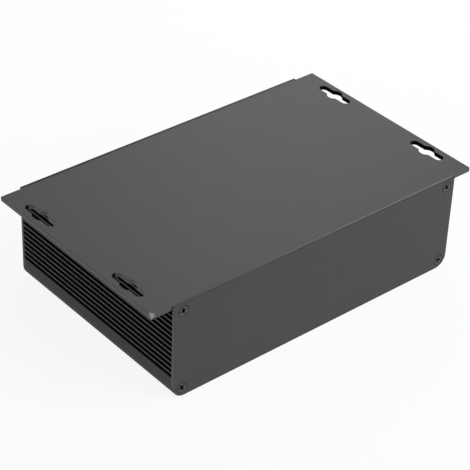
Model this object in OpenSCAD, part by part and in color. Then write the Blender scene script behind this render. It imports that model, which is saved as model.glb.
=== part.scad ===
// Flanged, side-finned aluminium extrusion enclosure with two screwed end panels.
// X runs across the enclosure, Y along the extrusion, Z up. It rests on its plain floor,
// with the flanged plate on top, and the origin is the middle of its footprint.

/* [Extrusion] */
// Width of the body, over the fin tips
body_w = 150; // [130:1:240]
// Height of the body, from the plain floor to the top of the flanged plate
body_h = 45.3; // [38:0.1:80]
// Length of the extrusion, without the end panels
body_l = 100; // [85:1:260]
// Thickness of the flanged plate
plate_t = 2.1; // [1.5:0.1:3]
// Thickness of the floor
floor_t = 2; // [1.5:0.1:3]
// Thickness of the plain side wall below the fins
side_t = 2; // [1.5:0.1:3]
// Thickness of the side wall behind the fins
web_t = 2; // [1.6:0.1:3]
// Outer radius of the two long bottom corners
corner_r = 5.6; // [4:0.1:8]
// Radius broken on the long edges of the flanges
flange_edge_r = 0.3; // [0.1:0.1:0.6]

/* [Flanges] */
// How far each flange stands out past the fin tips
flange_w = 10.2; // [9:0.1:18]
// Width of the narrow part of a keyhole slot
slot_w = 4; // [3:0.1:5]
// Length of a keyhole slot, end to end
slot_l = 18.5; // [14:0.5:30]
// Diameter of the round entry in the middle of a slot
slot_entry_d = 7; // [6:0.1:8]
// Distance between the middles of the two slots of one flange
slot_spacing = 58.6; // [45:0.2:64]
// Distance from the fin tips out to the middle line of the slots
slot_offset = 5.1; // [4.5:0.1:5.4]

/* [Cooling fins] */
// Distance from one fin to the next
fin_pitch = 2.52; // [2.2:0.02:4]
// Thickness of a fin at its tip
fin_tip_t = 0.85; // [0.7:0.05:1.2]
// Thickness of a fin at its root
fin_root_t = 1.15; // [1:0.05:1.5]
// Depth of the grooves between the fins
fin_depth = 2.5; // [1.5:0.1:3]
// Chamfer on the two corners of a fin's tip
fin_tip_c = 0.2; // [0.1:0.05:0.3]
// Fillet radius at the bottom corners of the grooves
groove_r = 0.45; // [0.2:0.05:0.5]
// Height of the plain strip below the fins
strip_h = 10.2; // [10:0.1:14]

/* [Board guides] */
// Thickness of the circuit boards that the guides hold
board_t = 1.6; // [1:0.1:2]
// Play of a board in its guide, both faces together
board_play = 0.3; // [0.2:0.05:0.5]
// Distance from one guide to the next
guide_pitch = 6; // [5.5:0.1:9]
// Thickness of a guide rail
rail_t = 1.2; // [0.9:0.1:1.5]
// How far the guide rails stand in from the wall
rail_depth = 2; // [1.5:0.1:3]
// Least plain wall between the guides and the screw ports or the ledge
guide_margin = 0.4; // [0.2:0.1:1]

/* [Screw ports] */
// Distance from the fin tips in to the screws
screw_side = 4.4; // [4:0.1:5]
// Distance from the floor up to the lower screws
screw_low = 4; // [4:0.1:5]
// Distance from the top of the plate down to the upper screws
screw_high = 3.7; // [3.6:0.1:5]
// Wall round a screw port
port_wall = 1.1; // [0.9:0.1:1.3]
// Width of the gap that opens a port to the inside
port_gap = 1.3; // [1:0.1:1.6]
// Smallest lead-in at the mouth of a port
port_lead = 0.3; // [0.2:0.1:0.5]

/* [End panels] */
// Thickness of an end panel
panel_t = 1.3; // [1.1:0.1:2]
// Diameter of the countersinks at the face of a panel
sink_d = 5.2; // [4.9:0.1:5.4]
// Radial clearance of the screws in the holes of a panel
hole_clear = 0.2; // [0.1:0.05:0.3]

/* [Screws] */
// Diameter of the screws
screw_d = 2.5; // [2.2:0.1:2.8]
// Diameter of the countersunk heads
head_d = 4.6; // [4.4:0.1:4.8]
// Depth of the top of a head below the face of its panel
head_drop = 0.05; // [0.02:0.01:0.08]
// Length of a screw, with its head
screw_l = 8; // [6:0.5:16]
// Radial clearance of the screws in their ports
port_clear = 0.1; // [0.05:0.05:0.2]
// Span of the cross recess
recess_span = 2.6; // [2.2:0.1:2.9]
// Width of an arm of the cross recess
recess_w = 0.65; // [0.4:0.05:0.8]
// Depth of the cross recess
recess_depth = 1.1; // [0.8:0.1:1.3]

/* [Hidden] */
$fn = 64;
ENDS = ["front", "rear"];
CORNERS = ["lower_left", "lower_right", "upper_left", "upper_right"];
function screw_name(e, c) = str(ENDS[e], "_screw_", CORNERS[c]);
PANELS = [for (e = [0, 1]) str(ENDS[e], "_panel")];
SCREWS = [for (e = [0, 1], c = [0:3]) screw_name(e, c)];

anodised_black = "#29292b";
panel_black = "#2a2a2c";
screw_black = "#1e1e20";

// Overlap that lets a cut or a joined shape pass a face
over = 0.5;
half_w = body_w / 2;
plate_z = body_h - plate_t;
fin_root_x = half_w - fin_depth;
web_x = fin_root_x - web_t;
groove_w = fin_pitch - fin_tip_t;
// Half the width of a groove at its bottom, the radius there, and how far its halves overlap
groove_root = (fin_pitch - fin_root_t) / 2;
bed_r = min(groove_r, 0.9 * groove_root);
groove_lap = (groove_root - bed_r) / 2;
fin_zone_h = plate_z - strip_h - groove_w;
fin_count = floor(fin_zone_h / fin_pitch);
function groove_z(i) = strip_h + groove_w / 2 + i * fin_pitch;
screw_x = half_w - screw_side;
screw_z = [screw_low, body_h - screw_high];
port_r = screw_d / 2 + port_clear;
boss_r = port_r + port_wall;
sink_r = sink_d / 2;
hole_r = screw_d / 2 + hole_clear;
// Where the head's cone would still be wider than a port, the lead-in grows with it
lead = max(port_lead, sink_r - panel_t - port_r + port_clear);
guide_w = board_t + board_play;
// Ceiling of the widened space beside the plain strip
ledge_z = strip_h - web_t;
guide_half = guide_w / 2 + rail_t + guide_margin;
guide_low = max(ledge_z, screw_z[0] + boss_r) + guide_half;
guide_high = screw_z[1] - boss_r - guide_half;
guide_count = floor((guide_high - guide_low) / guide_pitch) + 1;
guide_first = (guide_low + guide_high - (guide_count - 1) * guide_pitch) / 2;

// A child and its mirror image about the YZ plane
module both_sides() {
    children();
    mirror([1, 0, 0]) children();
}

// A flat profile in X and Z, extruded along Y about the middle of the body
module along_body(length) {
    rotate([90, 0, 0]) linear_extrude(height = length, center = true) children();
}

// Outline of the body without its flanges: square above, rounded below
module body_outline(half, bottom, radius, top) {
    translate([-half + radius, bottom]) square([2 * (half - radius), radius]);
    translate([-half, bottom + radius]) square([2 * half, top - bottom - radius]);
    for (side = [-1, 1]) translate([side * (half - radius), bottom + radius]) circle(r = radius);
}

// The plate that closes the top and stands out as the two flanges
module plate_profile() {
    reach = half_w + flange_w;
    r = flange_edge_r;
    translate([-reach + r, plate_z]) square([2 * (reach - r), plate_t]);
    translate([-reach, plate_z + r]) square([2 * reach, plate_t - 2 * r]);
    for (side = [-1, 1], z = [plate_z + r, body_h - r]) translate([side * (reach - r), z]) circle(r = r);
}

// Upper half of a groove, from its centre line at zero up to the underside of the next fin
module groove_half() {
    mouth = groove_w / 2;
    flare = mouth + fin_tip_c;
    polygon([
        [0, -groove_lap], [0, groove_root - bed_r], [bed_r, groove_root], [fin_depth - fin_tip_c, mouth],
        [fin_depth, flare], [fin_depth + over, flare + over], [fin_depth + over, -groove_lap]
    ]);
    translate([bed_r, groove_root - bed_r]) circle(r = bed_r);
}

// Upper half of the top groove, which ends flat against the flange
module top_groove_half(height) {
    polygon([
        [0, -groove_lap], [0, height - bed_r], [bed_r, height],
        [fin_depth + over, height], [fin_depth + over, -groove_lap]
    ]);
    translate([bed_r, height - bed_r]) circle(r = bed_r);
}

// The grooves that leave the row of fins standing between the plain strip and the flange
module grooves() {
    for (i = [0:fin_count]) translate([fin_root_x, groove_z(i)]) {
        mirror([0, 1]) groove_half();
        if (i < fin_count) groove_half();
        else top_groove_half(plate_z - groove_z(i));
    }
}

// The hollow of the extrusion: wide beside the plain strip, narrower behind the fins
module cavity_profile() {
    translate([-web_x, ledge_z - over]) square([2 * web_x, plate_z - ledge_z + over]);
    intersection() {
        body_outline(half_w - side_t, floor_t, corner_r - max(side_t, floor_t), plate_z);
        translate([-half_w, 0]) square([2 * half_w, ledge_z]);
    }
}

// The two rails that hold the edge of one board
module guide_profile() {
    for (side = [-1, 1])
        translate([web_x - rail_depth, side * (guide_w + rail_t) / 2 - rail_t / 2])
            square([rail_depth + over, rail_t]);
}

module guides() {
    for (i = [0:guide_count - 1]) translate([0, guide_first + i * guide_pitch]) guide_profile();
}

// Round boss of one screw port, kept inside the outer skin of the body
module port_boss(z) {
    skin_x = z < ledge_z ? half_w - side_t / 2 : fin_root_x - web_t / 2;
    intersection() {
        translate([screw_x, z]) circle(r = boss_r);
        translate([0, floor_t / 2]) square([skin_x, plate_z + plate_t / 2 - floor_t / 2]);
    }
}

// Bore of one screw port, with the gap that opens it towards the middle of the enclosure
module port_bore(z) {
    tilt = z < body_h / 2 ? 135 : 225;
    translate([screw_x, z]) {
        circle(r = port_r);
        rotate(tilt) translate([0, -port_gap / 2]) square([boss_r + over, port_gap]);
    }
}

module extrusion_profile() {
    difference() {
        union() {
            difference() {
                union() {
                    body_outline(half_w, 0, corner_r, plate_z + over);
                    plate_profile();
                }
                cavity_profile();
                both_sides() grooves();
            }
            both_sides() {
                guides();
                for (z = screw_z) port_boss(z);
            }
        }
        both_sides() for (z = screw_z) port_bore(z);
    }
}

// One keyhole slot: a long slot with a round entry for the screw head in its middle
module keyhole_slot() {
    depth = plate_t + 2 * over;
    half = slot_l / 2 - slot_w / 2;
    translate([0, 0, plate_z - over]) {
        cylinder(d = slot_entry_d, h = depth);
        for (end = [-1, 1]) translate([0, end * half, 0]) cylinder(d = slot_w, h = depth);
        translate([-slot_w / 2, -half, 0]) cube([slot_w, 2 * half, depth]);
    }
}

// The lead-in cones at both mouths of one port
module port_leads(z) {
    for (end = [-1, 1])
        translate([screw_x, end * body_l / 2, z])
            rotate([end * 90, 0, 0])
                translate([0, 0, -over])
                    cylinder(r1 = port_r + lead + over, r2 = port_r, h = lead + over);
}

module extrusion() {
    color(anodised_black)
        difference() {
            along_body(body_l) extrusion_profile();
            both_sides() {
                for (y = [-1, 1]) translate([half_w + slot_offset, y * slot_spacing / 2, 0]) keyhole_slot();
                for (z = screw_z) port_leads(z);
            }
        }
}

// A flat plate with the outline of the body and four countersunk holes
module front_panel() {
    color(panel_black)
        translate([0, -(body_l + panel_t) / 2, 0])
            difference() {
                along_body(panel_t) body_outline(half_w, 0, corner_r, body_h);
                both_sides() for (z = screw_z) translate([screw_x, -panel_t / 2, z]) rotate([-90, 0, 0]) sink();
            }
}

// Countersunk hole, entered from the face at zero
module sink() {
    translate([0, 0, -over]) cylinder(r1 = sink_r + over, r2 = hole_r, h = sink_r - hole_r + over);
    translate([0, 0, -over]) cylinder(r = hole_r, h = panel_t + 2 * over);
}

module rear_panel() {
    rotate(180) front_panel();
}

// Countersunk screw with a cross recess; zero is the face of its panel
module screw() {
    rim_z = sink_r - head_d / 2;
    neck_z = sink_r - screw_d / 2;
    tip = screw_d / 8;
    difference() {
        union() {
            translate([0, 0, head_drop]) cylinder(d = head_d, h = rim_z - head_drop);
            translate([0, 0, rim_z]) cylinder(d1 = head_d, d2 = screw_d, h = neck_z - rim_z);
            translate([0, 0, neck_z]) cylinder(d = screw_d, h = screw_l - neck_z - tip);
            translate([0, 0, screw_l - tip]) cylinder(d1 = screw_d, d2 = screw_d - 2 * tip, h = tip);
        }
        cross_recess();
    }
}

// Two crossed slots whose ends slope in towards the bottom
module cross_recess() {
    reach = recess_span / 2;
    foot = recess_w / 2;
    bottom = head_drop + recess_depth;
    for (turn = [0, 90]) rotate([90, 0, turn])
        linear_extrude(height = recess_w, center = true)
            polygon([
                [-reach, -over], [reach, -over], [reach, head_drop],
                [foot, bottom], [-foot, bottom], [-reach, head_drop]
            ]);
}

// The screw of one corner of one end
module panel_screw(e, c) {
    side = c % 2 == 0 ? -1 : 1;
    z = screw_z[floor(c / 2)];
    color(screw_black)
        rotate(e * 180)
            translate([(e == 0 ? side : -side) * screw_x, -body_l / 2 - panel_t, z])
                rotate([-90, 0, 0]) screw();
}

extrusion();
front_panel();
rear_panel();
for (e = [0, 1], c = [0:3])
    panel_screw(e, c);
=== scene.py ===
"""Looks of the flanged, finned aluminium enclosure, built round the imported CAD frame.

Lengths are in metres and angles in degrees, in the frame of the CAD part: X across, Y along and Z up.
"""

import math

import bmesh
import bpy
from mathutils import Matrix, Vector


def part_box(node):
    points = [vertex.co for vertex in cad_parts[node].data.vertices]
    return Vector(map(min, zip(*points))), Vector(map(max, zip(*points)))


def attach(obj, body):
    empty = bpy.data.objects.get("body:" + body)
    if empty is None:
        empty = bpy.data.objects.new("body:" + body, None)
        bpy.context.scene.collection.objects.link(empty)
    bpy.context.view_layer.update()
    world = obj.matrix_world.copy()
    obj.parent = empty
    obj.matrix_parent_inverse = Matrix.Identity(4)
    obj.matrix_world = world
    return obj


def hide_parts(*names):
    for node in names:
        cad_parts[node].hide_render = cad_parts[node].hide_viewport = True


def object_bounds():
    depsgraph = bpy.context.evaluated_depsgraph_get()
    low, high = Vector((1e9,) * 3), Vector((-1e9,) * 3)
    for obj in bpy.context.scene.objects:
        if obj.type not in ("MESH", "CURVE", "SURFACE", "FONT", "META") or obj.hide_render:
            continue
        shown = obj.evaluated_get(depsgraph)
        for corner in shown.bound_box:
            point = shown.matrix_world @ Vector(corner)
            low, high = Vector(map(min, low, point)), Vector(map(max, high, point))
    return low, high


MM = 0.001

# Tolerances: places, vertices that are the same, flat faces and edges that stay sharp
TOLERANCE = 0.02 * MM
SAME_PLACE = 0.001 * MM
FLAT_ANGLE = math.radians(0.5)
SMOOTH_ANGLE = math.radians(28)

# Sizes of the CAD part and limits, by which its faces are chosen
WALL = 2 * MM
FIN_DEPTH = 2.5 * MM
FIN_CHAMFER = 0.2 * MM
WIDEST_FIN_TIP = 1 * MM
SLOT_MARGIN = 1.2 * MM
# How much of a face's normal lies along an axis: more than FLAT in a flat face, more than ALONG also in
# the nearest facet of a rounded edge, more than TURNED or SLANTED in one that roughly faces that way, more
# than LIT_SHARE in a slot's wall that gets a painted highlight, and less than SQUARE in a face that runs
# along the axis
FLAT = 0.99
ALONG = 0.9
TURNED = 0.7
SLANTED = 0.5
LIT_SHARE = 0.3
SQUARE = 0.1

# Small forms: broken edges, and the depth below which a countersink is painted dark as shade
EDGE_BREAK = 0.12 * MM
PANEL_BREAK = 0.2 * MM
BREAK_STEPS = 2
COUNTERSINK_DARK = 0.1 * MM

# Painted highlights (above 0) and painted shade (below 0), as how much lighter a face is than the rest: 1
# doubles its colour and -1 makes it black
# painted highlights on broken edges, the flanges' sides and ends, the lit slot walls, the fin tips and the
# panels' narrow sides
EDGE_LIFT = 0.4
FLANGE_LIFT = 1.3
FLANGE_END_LIFT = 0.4
SLOT_LIFT = 1.3
FIN_LIFT = 0.9
PANEL_SIDE_LIFT = 1.4
# painted shade along the panels' tops and on their lower rims
PANEL_TOP_LIFT = -0.3
PANEL_UNDER_LIFT = -0.9
# painted highlight on the broken rims of the screws' recesses
SCREW_RIM_LIFT = 5.0
# The same at the left and right ends of the front joint's line, painted shade going over to a painted
# highlight, and of the rear panel's top, painted shade
JOINT_LIFTS = (-0.3, 1.3)
REAR_TOP_LIFTS = (-0.95, -0.5)
# Width of that line, and where the panels are cut across so that their lift can change along them
JOINT_LINE = 0.6 * MM
PANEL_CUTS = [x * MM for x in range(-60, 61, 10)]
# Change of roughness with a lift of 1
ROUGHNESS_PER_LIFT = -0.1

# Anodised surface: soft mottling, blasted grain and the lines left by drawing, which run along Y
MOTTLE_SIZE = 14 * MM
GRAIN_SIZE = 0.32 * MM
LINE_SIZE = 0.5 * MM
LINE_STRETCH = 160
GRAIN_HEIGHT = 0.02 * MM
LINE_HEIGHT = 0.01 * MM
MOTTLE_CONTRAST = 0.04
GRAIN_CONTRAST = 0.12
ROUGHNESS_SPREAD = 0.05
# Grey of the painted highlight, a glint on the front corner of the left flange, and how far it reaches
GLINT_TONE = 0.45
GLINT_REACH = 2.2 * MM

# Surface of the screws: its grain, darkest and lightest grey, and least and most roughness
SCREW_GRAIN_SIZE = 0.25 * MM
SCREW_GRAIN_HEIGHT = 0.01 * MM
SCREW_GRAIN_STRENGTH = 0.3
SCREW_GREYS = (0.035, 0.05)
SCREW_ROUGHNESS = (0.36, 0.46)

# Screws: M2.5, with a countersunk head and a cross recess
SCREW_RADIUS = 1.25 * MM
RIM_DEPTH = 0.25 * MM
HEAD_ROUND = 0.06 * MM
HEAD_ROUND_STEPS = 3
TIP = 0.31 * MM
THREAD_PITCH = 0.45 * MM
THREAD_DEPTH = 0.24 * MM
RINGS_PER_TURN = 8
SCREW_SIDES = 48
# Recess from its rim to its bottom: depth, reach of the arms, half their width and half the core, in mm
RECESS_ROWS = ((0.0, 1.68, 0.46, 0.72), (0.08, 1.6, 0.38, 0.66), (1.2, 1.0, 0.34, 0.42))
# Corners of a panel, and how far the recess of the screw in each is turned
CORNERS = ("lower_left", "lower_right", "upper_left", "upper_right")
SCREW_TURNS = {"front": (24, 77, 17, 28), "rear": (41, 8, 63, 35)}

# Camera, with its lens and sensor in mm
CAMERA_AZIMUTH = -41.21
CAMERA_ELEVATION = 34.84
CAMERA_ROLL = 2.37
CAMERA_DISTANCE = 752.9 * MM
CAMERA_TARGET = Vector((-1.58, 0.0, 18.97)) * MM
CAMERA_LENS = 136.26
CAMERA_SENSOR = 36
CAMERA_CLIP = (0.01, 20)

# Floor: its half width, how far it lies below the part, its own grey and roughness, and the strength
# and share of the white that the camera sees in it
FLOOR_REACH = 3.0
FLOOR_DROP = 0.05 * MM
FLOOR_LEVEL = 0.6
FLOOR_ROUGHNESS = 0.9
FLOOR_WHITE = 1.12
FLOOR_WHITE_SHARE = 0.8

# Light: the world's strength, then each softbox's name, azimuth, elevation, distance, size and power
WORLD_LIGHT = 0.25
SOFTBOXES = (
    ("front_softbox", 30, 40, 1.2, 0.7, 7.9),
    ("right_softbox", 135, 12, 1.2, 0.7, 1.2),
    ("rear_softbox", 135, 35, 0.4, 0.2, 0.27),
)

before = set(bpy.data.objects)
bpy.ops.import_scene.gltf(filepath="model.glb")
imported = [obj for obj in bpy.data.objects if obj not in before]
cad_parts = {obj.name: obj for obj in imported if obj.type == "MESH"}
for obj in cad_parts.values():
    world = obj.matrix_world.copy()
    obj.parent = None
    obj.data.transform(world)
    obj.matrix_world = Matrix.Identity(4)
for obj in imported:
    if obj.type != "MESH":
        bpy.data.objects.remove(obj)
cad_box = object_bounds()
middle = (cad_box[0] + cad_box[1]) / 2
HALF_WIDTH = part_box("front_panel")[1].x
REACH, HALF_LENGTH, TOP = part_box("extrusion")[1]


# ---------------------------------------------------------------- materials


class Graph:
    """A small helper that adds and links shader nodes."""

    def __init__(self, name):
        self.material = bpy.data.materials.new(name)
        self.material.use_nodes = True
        self.tree = self.material.node_tree
        self.shader = self.tree.nodes["Principled BSDF"]
        self.place = self.add("ShaderNodeTexCoord").outputs["Object"]
        self.lift = self.add("ShaderNodeAttribute", attribute_name="lift").outputs["Fac"]

    def add(self, kind, **settings):
        node = self.tree.nodes.new(kind)
        for key, value in settings.items():
            setattr(node, key, value)
        return node

    def link(self, source, target):
        self.tree.links.new(source, target)

    def noise(self, size, detail, roughness=0.5, stretch=(1, 1, 1)):
        """Noise with features of that size, drawn out along an axis where stretch is above 1."""
        mapping = self.add("ShaderNodeMapping")
        mapping.inputs["Scale"].default_value = [1 / s for s in stretch]
        texture = self.add("ShaderNodeTexNoise")
        texture.inputs["Scale"].default_value = 1 / size
        texture.inputs["Detail"].default_value = detail
        texture.inputs["Roughness"].default_value = roughness
        self.link(self.place, mapping.inputs["Vector"])
        self.link(mapping.outputs["Vector"], texture.inputs["Vector"])
        return texture.outputs["Fac"]

    def remap(self, value, low, high, start=0.3, end=0.7):
        """Goes from low to high as the value goes from start to end. Noise mostly lies from 0.3 to 0.7."""
        node = self.add("ShaderNodeMapRange")
        node.inputs["From Min"].default_value = start
        node.inputs["From Max"].default_value = end
        node.inputs["To Min"].default_value = low
        node.inputs["To Max"].default_value = high
        self.link(value, node.inputs["Value"])
        return node.outputs["Result"]

    def mix(self, factor, first, second):
        """Mix of two colours, each a socket or a plain colour."""
        node = self.add("ShaderNodeMix", data_type="RGBA")
        self.link(factor, node.inputs["Factor"])
        for value, target in ((first, node.inputs["A"]), (second, node.inputs["B"])):
            if isinstance(value, bpy.types.NodeSocket):
                self.link(value, target)
            else:
                target.default_value = (*value, 1)
        return node.outputs["Result"]

    def bump(self, height, distance, strength, below=None):
        node = self.add("ShaderNodeBump")
        node.inputs["Distance"].default_value = distance
        node.inputs["Strength"].default_value = strength
        self.link(height, node.inputs["Height"])
        if below is not None:
            self.link(below, node.inputs["Normal"])
        return node.outputs["Normal"]

    def near(self, point, reach):
        """1 within a third of the reach from a point, falling to 0 at the reach."""
        node = self.add("ShaderNodeVectorMath", operation="DISTANCE")
        self.link(self.place, node.inputs[0])
        node.inputs[1].default_value = point
        return self.remap(node.outputs["Value"], 1, 0, reach / 3, reach)

    def add_times(self, value, factor, amount):
        """The value plus amount times factor."""
        node = self.add("ShaderNodeMath", operation="MULTIPLY_ADD")
        self.link(factor, node.inputs[0])
        node.inputs[1].default_value = amount
        self.link(value, node.inputs[2])
        return node.outputs[0]

    def lifted(self, colour):
        """The colour times one more than the lift of the face: painted light where the lift is above 0 and
        painted shade below.
        """
        more = self.add("ShaderNodeMath", operation="ADD")
        more.inputs[1].default_value = 1
        self.link(self.lift, more.inputs[0])
        node = self.add("ShaderNodeVectorMath", operation="SCALE")
        self.link(colour, node.inputs[0])
        self.link(more.outputs[0], node.inputs["Scale"])
        return node.outputs["Vector"]


def grey(level):
    return (level, level, level)


def anodised(name, level, roughness, gloss, blast, streak, glint_corner=None):
    """Black anodised aluminium, as light as the lift of each face says, which is painted light and shade.

    blast and streak are the strengths of its grain and of its drawing lines. It has a painted glint at the
    given corner.
    """
    g = Graph(name)
    g.shader.inputs["Specular IOR Level"].default_value = gloss
    mottle = g.noise(MOTTLE_SIZE, detail=3)
    grain = g.noise(GRAIN_SIZE, detail=4, roughness=0.65)
    lines = g.noise(LINE_SIZE, detail=3, roughness=0.7, stretch=(1, LINE_STRETCH, 1))
    dark, light = grey(level * (1 - MOTTLE_CONTRAST)), grey(level * (1 + MOTTLE_CONTRAST))
    tone = g.mix(g.remap(mottle, 0, 1), dark, light)
    tone = g.lifted(g.mix(g.remap(grain, 0, 1), tone, grey(level * (1 + GRAIN_CONTRAST))))
    # painted highlight: a glint that fades out from that corner
    if glint_corner:
        tone = g.mix(g.near(glint_corner, GLINT_REACH), tone, grey(GLINT_TONE))
    g.link(tone, g.shader.inputs["Base Color"])
    matt = g.remap(grain, roughness - ROUGHNESS_SPREAD, roughness + ROUGHNESS_SPREAD)
    g.link(g.add_times(matt, g.lift, ROUGHNESS_PER_LIFT), g.shader.inputs["Roughness"])
    normal = g.bump(grain, GRAIN_HEIGHT, blast)
    g.link(g.bump(lines, LINE_HEIGHT, streak, normal), g.shader.inputs["Normal"])
    return g.material


def screw_black():
    """Blackened steel: darker and smoother than the panels, with a fine grain."""
    g = Graph("screw_black")
    grain = g.noise(SCREW_GRAIN_SIZE, detail=3)
    dark, light = SCREW_GREYS
    tone = g.mix(g.remap(grain, 0, 1), grey(dark), grey(light))
    g.link(g.lifted(tone), g.shader.inputs["Base Color"])
    g.link(g.remap(grain, *SCREW_ROUGHNESS), g.shader.inputs["Roughness"])
    g.link(g.bump(grain, SCREW_GRAIN_HEIGHT, SCREW_GRAIN_STRENGTH), g.shader.inputs["Normal"])
    return g.material


BODY = anodised(
    "anodised_body",
    level=0.08,
    roughness=0.52,
    gloss=0.16,
    blast=0.35,
    streak=0.12,
    # the front corner of the left flange gets a painted glint
    glint_corner=(-REACH, -HALF_LENGTH, TOP),
)
PANEL = anodised("anodised_panel", level=0.08, roughness=0.52, gloss=0.16, blast=0.35, streak=0.03)
# Nearly black painted shade, for grooves, slots, countersinks and the hollow, then for the screws' sides
# and recesses
PAINTED_SHADE = anodised("anodised_painted_shade", level=0.006, roughness=0.5, gloss=0.05, blast=0.15, streak=0.2)
SCREW_SHADE = anodised("screw_painted_shade", level=0.004, roughness=0.5, gloss=0.05, blast=0.1, streak=0.0)
SCREW = screw_black()


# ------------------------------------------------------------------- pieces


def copy_of(node):
    """A bmesh of a CAD node with its flat faces joined up again."""
    bm = bmesh.new()
    bm.from_mesh(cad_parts[node].data)
    bmesh.ops.remove_doubles(bm, verts=bm.verts, dist=SAME_PLACE)
    bmesh.ops.dissolve_limit(
        bm, angle_limit=FLAT_ANGLE, use_dissolve_boundaries=False, verts=bm.verts, edges=bm.edges
    )
    bm.faces.layers.float.new("lift")
    return bm


def set_lifts(bm, rule):
    """Gives each face the lift that the rule makes of the face and the lift it has."""
    layer = bm.faces.layers.float["lift"]
    for face in bm.faces:
        face[layer] = rule(face, face[layer])


def break_edges(bm, edges, radius, lift):
    """Rounds those edges. lift gives each new face's lift from its centre."""
    made = bmesh.ops.bevel(
        bm,
        geom=edges,
        offset=radius,
        offset_type="OFFSET",
        segments=BREAK_STEPS,
        profile=0.5,
        affect="EDGES",
        clamp_overlap=True,
    )
    layer = bm.faces.layers.float["lift"]
    for face in made["faces"]:
        face[layer] = lift(face.calc_center_median())


def finish_piece(bm, name, node, materials, pick=None):
    """Turns a bmesh into a piece that stands for a CAD node. pick gives each face's material."""
    if pick:
        for face in bm.faces:
            face.material_index = pick(face)
    mesh = bpy.data.meshes.new(name)
    for material in materials:
        mesh.materials.append(material)
    bm.to_mesh(mesh)
    bm.free()
    for polygon in mesh.polygons:
        polygon.use_smooth = True
    mesh.set_sharp_from_angle(angle=SMOOTH_ANGLE)
    piece = bpy.data.objects.new(name, mesh)
    bpy.context.scene.collection.objects.link(piece)
    weighted = piece.modifiers.new("weighted_normals", "WEIGHTED_NORMAL")
    weighted.keep_sharp = True
    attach(piece, "root")
    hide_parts(node)


def in_slot(face):
    """True for a face of a keyhole slot's wall."""
    centre = face.calc_center_median()
    in_flange = HALF_WIDTH + SLOT_MARGIN < abs(centre.x) < REACH - SLOT_MARGIN
    return abs(face.normal.z) < SLANTED and in_flange and abs(centre.y) < HALF_LENGTH - SLOT_MARGIN


def at_end(face):
    """True for a face of the extrusion's sawn ends."""
    return abs(face.normal.y) > FLAT and abs(abs(face.calc_center_median().y) - HALF_LENGTH) < TOLERANCE


def lit_slot_wall(face):
    """True for the walls of the left flange's slots that face out to its side, which get a painted
    highlight while the other slot walls get painted shade.
    """
    return in_slot(face) and face.calc_center_median().x < 0 and face.normal.x < -LIT_SHARE


def in_groove(face):
    """True for a face inside a groove between two fins."""
    centre = face.calc_center_median()
    if abs(face.normal.y) > SLANTED:
        return False
    among_fins = HALF_WIDTH - FIN_DEPTH - TOLERANCE < abs(centre.x) < HALF_WIDTH - FIN_CHAMFER
    return among_fins and WALL < centre.z < TOP - WALL


def is_inside(face):
    """True for a face that bounds the hollow of the extrusion."""
    centre = face.calc_center_median()
    if abs(face.normal.y) > SLANTED:
        return False
    between_floors = WALL - TOLERANCE < centre.z < TOP - WALL + TOLERANCE
    return abs(centre.x) < HALF_WIDTH - WALL + TOLERANCE and between_floors


def in_countersink(face):
    """True for a face of a panel's countersinks."""
    return SLANTED < abs(face.normal.y) < ALONG


def cut_faces(bm, faces, at, across):
    """Cuts those faces along the plane through a point and across a direction."""
    parts = set(faces)
    for face in faces:
        parts.update(face.edges)
        parts.update(face.verts)
    bmesh.ops.bisect_plane(bm, geom=list(parts), plane_co=at, plane_no=across)


def extrusion_lift(face, otherwise):
    """Lift of a face of the extrusion, where it differs from what the face has: painted highlights on the
    lit slot walls, the flanges' ends and sides and the tips of the fins.
    """
    across = abs(face.calc_center_median().x)
    if lit_slot_wall(face):
        return SLOT_LIFT
    if at_end(face) and across > HALF_WIDTH:
        return FLANGE_END_LIFT
    if abs(face.normal.x) < TURNED:
        return otherwise
    if across > REACH - EDGE_BREAK:
        return FLANGE_LIFT
    heights = [v.co.z for v in face.verts]
    narrow = max(heights) - min(heights) < WIDEST_FIN_TIP
    return FIN_LIFT if narrow and abs(across - HALF_WIDTH) < TOLERANCE else otherwise


def make_extrusion():
    bm = copy_of("extrusion")
    # the ends are cut where the flanges come clear of the panels
    for x in (-HALF_WIDTH - 2 * TOLERANCE, HALF_WIDTH + 2 * TOLERANCE):
        cut_faces(bm, [f for f in bm.faces if at_end(f)], (x, 0, 0), (1, 0, 0))
    rims = []
    for edge in bm.edges:
        faces = edge.link_faces
        if len(faces) != 2:
            continue
        flange = all(abs(v.co.x) > HALF_WIDTH + TOLERANCE for v in edge.verts)
        if in_slot(faces[0]) != in_slot(faces[1]) or flange and at_end(faces[0]) != at_end(faces[1]):
            rims.append(edge)
    # the broken rims get a painted highlight
    break_edges(bm, rims, EDGE_BREAK, lambda centre: EDGE_LIFT)
    set_lifts(bm, extrusion_lift)

    def pick(face):
        # grooves, the hollow and the slot walls that are not lit get the near-black painted shade
        shaded_slot = in_slot(face) and not lit_slot_wall(face)
        return int(shaded_slot or in_groove(face) or is_inside(face))

    finish_piece(bm, "extrusion_finish", "extrusion", [BODY, PAINTED_SHADE], pick)


def along_top(centre, lifts):
    """The lift at that place along a panel's top, between those at its left and right ends."""
    share = (centre.x / HALF_WIDTH + 1) / 2
    return lifts[0] + share * (lifts[1] - lifts[0])


def rim_lift(centre):
    """Lift of a panel's rounded rim: painted shade under it and along its top, and a painted highlight on
    its sides.
    """
    if centre.z < PANEL_BREAK:
        return PANEL_UNDER_LIFT
    if centre.z < TOP - PANEL_BREAK:
        return EDGE_LIFT
    return PANEL_TOP_LIFT if centre.y < 0 else along_top(centre, REAR_TOP_LIFTS)


def on_top(face):
    return face.normal.z > ALONG and face.calc_center_median().z > TOP - TOLERANCE


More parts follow.
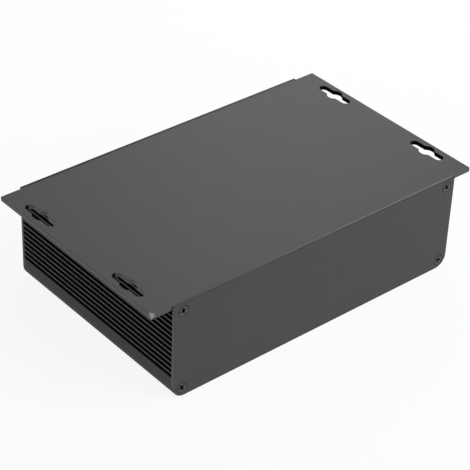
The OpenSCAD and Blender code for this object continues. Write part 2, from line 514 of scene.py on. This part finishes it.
def panel_lift(face, otherwise):
    """Lift of a panel's narrow sides, a painted highlight, and of its top, painted shade going over to a
    painted highlight towards the right of the front joint, and what the face has elsewhere.
    """
    centre = face.calc_center_median()
    if abs(face.normal.x) > ALONG and abs(centre.x) > HALF_WIDTH - TOLERANCE:
        return PANEL_SIDE_LIFT
    if not on_top(face):
        return otherwise
    if centre.y > 0:
        return along_top(centre, REAR_TOP_LIFTS)
    return along_top(centre, JOINT_LIFTS) if centre.y > -HALF_LENGTH - JOINT_LINE else PANEL_TOP_LIFT


def make_panel(node):
    bm = copy_of(node)
    low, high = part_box(node)
    front, inward = (low.y, 1) if low.y < 0 else (high.y, -1)
    # each countersink is cut at the depth below which it is painted dark as shade
    in_cone = [f for f in bm.faces if in_countersink(f)]
    cut_faces(bm, in_cone, (0, front + inward * COUNTERSINK_DARK, 0), (0, 1, 0))
    # the panel is cut across, and its top along the joint with the extrusion
    for x in PANEL_CUTS:
        cut_faces(bm, bm.faces[:], (x, 0, 0), (1, 0, 0))
    joint_side = -inward * (HALF_LENGTH + JOINT_LINE)
    cut_faces(bm, [f for f in bm.faces if on_top(f)], (0, joint_side, 0), (0, 1, 0))
    flat = [e for e in bm.edges if all(abs(v.co.y - front) < TOLERANCE for v in e.verts)]
    rim = [e for e in flat if any(abs(f.normal.y) < SQUARE for f in e.link_faces)]
    break_edges(bm, rim, PANEL_BREAK, rim_lift)
    set_lifts(bm, panel_lift)

    def pick(face):
        # countersinks below that depth get the near-black painted shade
        depth = inward * (face.calc_center_median().y - front)
        return int(in_countersink(face) and depth > COUNTERSINK_DARK)

    finish_piece(bm, node + "_finish", node, [PANEL, PAINTED_SHADE], pick)


def skin(bm, rings):
    """Joins rings of equal length with faces and caps the last one."""
    for first, second in zip(rings, rings[1:]):
        for k, vert in enumerate(first):
            after = (k + 1) % len(first)
            bm.faces.new((vert, first[after], second[after], second[k]))
    bm.faces.new(rings[-1])


def screw_rows(head_radius, length):
    """Depth, radius and depth of thread of each ring of a screw, from the top of its head to its tip."""
    rows = []
    for step in range(HEAD_ROUND_STEPS + 1):
        turn = math.radians(90 * step / HEAD_ROUND_STEPS)
        rows.append((HEAD_ROUND * (1 - math.cos(turn)), head_radius - HEAD_ROUND * (1 - math.sin(turn)), 0))
    rows.append((RIM_DEPTH, head_radius, 0))
    neck = RIM_DEPTH + head_radius - SCREW_RADIUS
    threaded = length - TIP - neck
    count = round(RINGS_PER_TURN * threaded / THREAD_PITCH)
    for step in range(count + 1):
        along = threaded * step / count
        rows.append((neck + along, SCREW_RADIUS, THREAD_DEPTH * min(1, along / THREAD_PITCH)))
    rows.append((length, SCREW_RADIUS - TIP, 0))
    return rows


def threaded_ring(bm, depth, radius, thread):
    """Ring of vertices round the screw's axis, cut in by the thread on one side."""
    made = []
    for step in range(SCREW_SIDES):
        angle = 2 * math.pi * step / SCREW_SIDES
        wave = 0.5 - 0.5 * math.cos(angle - 2 * math.pi * depth / THREAD_PITCH)
        at = radius - thread * wave
        made.append(bm.verts.new((at * math.cos(angle), at * math.sin(angle), depth)))
    return made


def cross_ring(bm, depth, reach, half_width, core):
    """Cross-shaped ring of vertices, with the corners between its arms filled out to the core."""
    made = []
    for quarter in range(4):
        turn = Matrix.Rotation(math.radians(90 * quarter), 3, "Z")
        for x, y in ((reach, -half_width), (reach, half_width), (core, half_width), (half_width, core)):
            made.append(bm.verts.new(turn @ Vector((x, y, depth))))
    return made


def screw_bmesh(head_radius, length):
    """A screw with its cross recess, from the top of the head at zero to the tip towards +Z."""
    bm = bmesh.new()
    layer = bm.faces.layers.float.new("lift")
    outside = [threaded_ring(bm, *row) for row in screw_rows(head_radius, length)]
    recess = [cross_ring(bm, *[size * MM for size in row]) for row in RECESS_ROWS]
    skin(bm, outside)
    skin(bm, recess)
    rims = [bm.edges.get((r[k - 1], r[k])) for r in (outside[0], recess[0]) for k in range(len(r))]
    bmesh.ops.triangle_fill(bm, edges=rims, use_beauty=True)
    bmesh.ops.recalc_face_normals(bm, faces=bm.faces)
    # the broken edge of the recess gets a painted highlight
    broken = set(recess[0] + recess[1])
    for face in bm.faces:
        if broken.issuperset(face.verts) and any(v.co.z > 0 for v in face.verts):
            face[layer] = SCREW_RIM_LIFT
    return bm


def make_screw(node, turn):
    """One screw in the place of its node, with its recess turned anticlockwise as seen from outside."""
    low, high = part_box(node)
    centre = (low + high) / 2
    front = centre.y < 0
    top = Vector((centre.x, low.y if front else high.y, centre.z))
    # the screw's own Z goes into the part, and its X stays level
    across = Vector((1, 0, 0) if front else (-1, 0, 0))
    inward = Vector((0, 1, 0) if front else (0, -1, 0))
    place = Matrix((across, inward.cross(across), inward)).transposed().to_4x4()
    bm = screw_bmesh((high.x - low.x) / 2, high.y - low.y)
    bmesh.ops.transform(bm, matrix=Matrix.Rotation(-math.radians(turn), 4, "Z"), verts=bm.verts)
    layer = bm.faces.layers.float["lift"]
    for face in bm.faces:
        # the screw's sides and recess take the near-black painted shade; the head's top and the recess's
        # painted-highlight rim keep the screw's grey
        shown = all(v.co.z < TOLERANCE for v in face.verts)
        face.material_index = 0 if shown or face[layer] > 0 else 1
    bmesh.ops.transform(bm, matrix=Matrix.Translation(top) @ place, verts=bm.verts)
    finish_piece(bm, node + "_finish", node, [SCREW, SCREW_SHADE])


make_extrusion()
for name in ("front_panel", "rear_panel"):
    make_panel(name)
for end, turns in SCREW_TURNS.items():
    for corner, turn in zip(CORNERS, turns):
        make_screw(f"{end}_screw_{corner}", turn)


# ------------------------------------------------- floor, light and camera


def shown_rays(tree):
    """1 for what the camera sees, straight, in a gloss or through glass, and 0 for other rays of light."""
    path = tree.nodes.new("ShaderNodeLightPath")
    seen = path.outputs["Is Camera Ray"]
    for ray in ("Is Glossy Ray", "Is Transmission Ray"):
        either = tree.nodes.new("ShaderNodeMath")
        either.operation = "MAXIMUM"
        tree.links.new(seen, either.inputs[0])
        tree.links.new(path.outputs[ray], either.inputs[1])
        seen = either.outputs[0]
    return seen


def mix_shaders(tree, factor, first, second):
    node = tree.nodes.new("ShaderNodeMixShader")
    for socket, source in zip(node.inputs, (factor, first, second)):
        tree.links.new(source, socket)
    return node.outputs[0]


def floor_paint():
    """Pale floor. A share of plain white in what the camera sees of it leaves only a soft shadow.

    It is clear from below, so that the underside shows in a view from there.
    """
    material = bpy.data.materials.new("pale_floor")
    material.use_nodes = True
    tree = material.node_tree
    paint = tree.nodes["Principled BSDF"]
    paint.inputs["Base Color"].default_value = (*grey(FLOOR_LEVEL), 1)
    paint.inputs["Roughness"].default_value = FLOOR_ROUGHNESS
    share = tree.nodes.new("ShaderNodeMath")
    share.operation = "MULTIPLY"
    share.inputs[1].default_value = FLOOR_WHITE_SHARE
    tree.links.new(shown_rays(tree), share.inputs[0])
    white = tree.nodes.new("ShaderNodeEmission")
    white.inputs["Color"].default_value = (1, 1, 1, 1)
    white.inputs["Strength"].default_value = FLOOR_WHITE
    blend = mix_shaders(tree, share.outputs[0], paint.outputs[0], white.outputs[0])
    below = tree.nodes.new("ShaderNodeNewGeometry").outputs["Backfacing"]
    clear = tree.nodes.new("ShaderNodeBsdfTransparent").outputs[0]
    one_sided = mix_shaders(tree, below, blend, clear)
    tree.links.new(one_sided, tree.nodes["Material Output"].inputs["Surface"])
    return material


def make_floor():
    mesh = bpy.data.meshes.new("floor")
    corners = [(x * FLOOR_REACH, y * FLOOR_REACH, 0) for x, y in ((-1, -1), (1, -1), (1, 1), (-1, 1))]
    mesh.from_pydata(corners, [], [(0, 1, 2, 3)])
    mesh.materials.append(floor_paint())
    floor = bpy.data.objects.new("floor", mesh)
    floor.location.z = cad_box[0].z - FLOOR_DROP
    bpy.context.scene.collection.objects.link(floor)


def make_world(strength):
    """Plain soft light from all round, which shows as white."""
    world = bpy.data.worlds.new("studio")
    world.use_nodes = True
    tree = world.node_tree
    light = tree.nodes["Background"]
    light.inputs["Color"].default_value = (1, 1, 1, 1)
    light.inputs["Strength"].default_value = strength
    white = tree.nodes.new("ShaderNodeBackground")
    white.inputs["Color"].default_value = (1, 1, 1, 1)
    white.inputs["Strength"].default_value = 1.0
    blend = mix_shaders(tree, shown_rays(tree), light.outputs[0], white.outputs[0])
    tree.links.new(blend, tree.nodes["World Output"].inputs["Surface"])
    bpy.context.scene.world = world


def direction(azimuth, elevation):
    """Unit vector from the object towards a viewer; azimuth 0 is in front, at -Y, and 90 at +X."""
    a, e = math.radians(azimuth), math.radians(elevation)
    return Vector((math.sin(a) * math.cos(e), -math.cos(a) * math.cos(e), math.sin(e)))


def make_softbox(name, azimuth, elevation, distance, size, power):
    data = bpy.data.lights.new(name, "AREA")
    data.shape = "SQUARE"
    data.size = size
    data.energy = power
    lamp = bpy.data.objects.new(name, data)
    back = direction(azimuth, elevation)
    lamp.location = middle + back * distance
    lamp.rotation_mode = "QUATERNION"
    lamp.rotation_quaternion = back.to_track_quat("Z", "Y")
    bpy.context.scene.collection.objects.link(lamp)


def make_camera():
    data = bpy.data.cameras.new("camera")
    data.lens = CAMERA_LENS
    data.sensor_width = CAMERA_SENSOR
    data.clip_start, data.clip_end = CAMERA_CLIP
    camera = bpy.data.objects.new("camera", data)
    back = direction(CAMERA_AZIMUTH, CAMERA_ELEVATION)
    right = (-back).cross(Vector((0, 0, 1))).normalized()
    up = right.cross(-back)
    roll = math.radians(CAMERA_ROLL)
    right, up = (
        math.cos(roll) * right + math.sin(roll) * up,
        math.cos(roll) * up - math.sin(roll) * right,
    )
    turn = Matrix((right, up, back)).transposed()
    camera.matrix_world = Matrix.Translation(CAMERA_TARGET + back * CAMERA_DISTANCE) @ turn.to_4x4()
    bpy.context.scene.collection.objects.link(camera)
    bpy.context.scene.camera = camera


make_floor()
make_world(WORLD_LIGHT)
for softbox in SOFTBOXES:
    make_softbox(*softbox)
make_camera()
bpy.context.scene.view_settings.view_transform = "Standard"
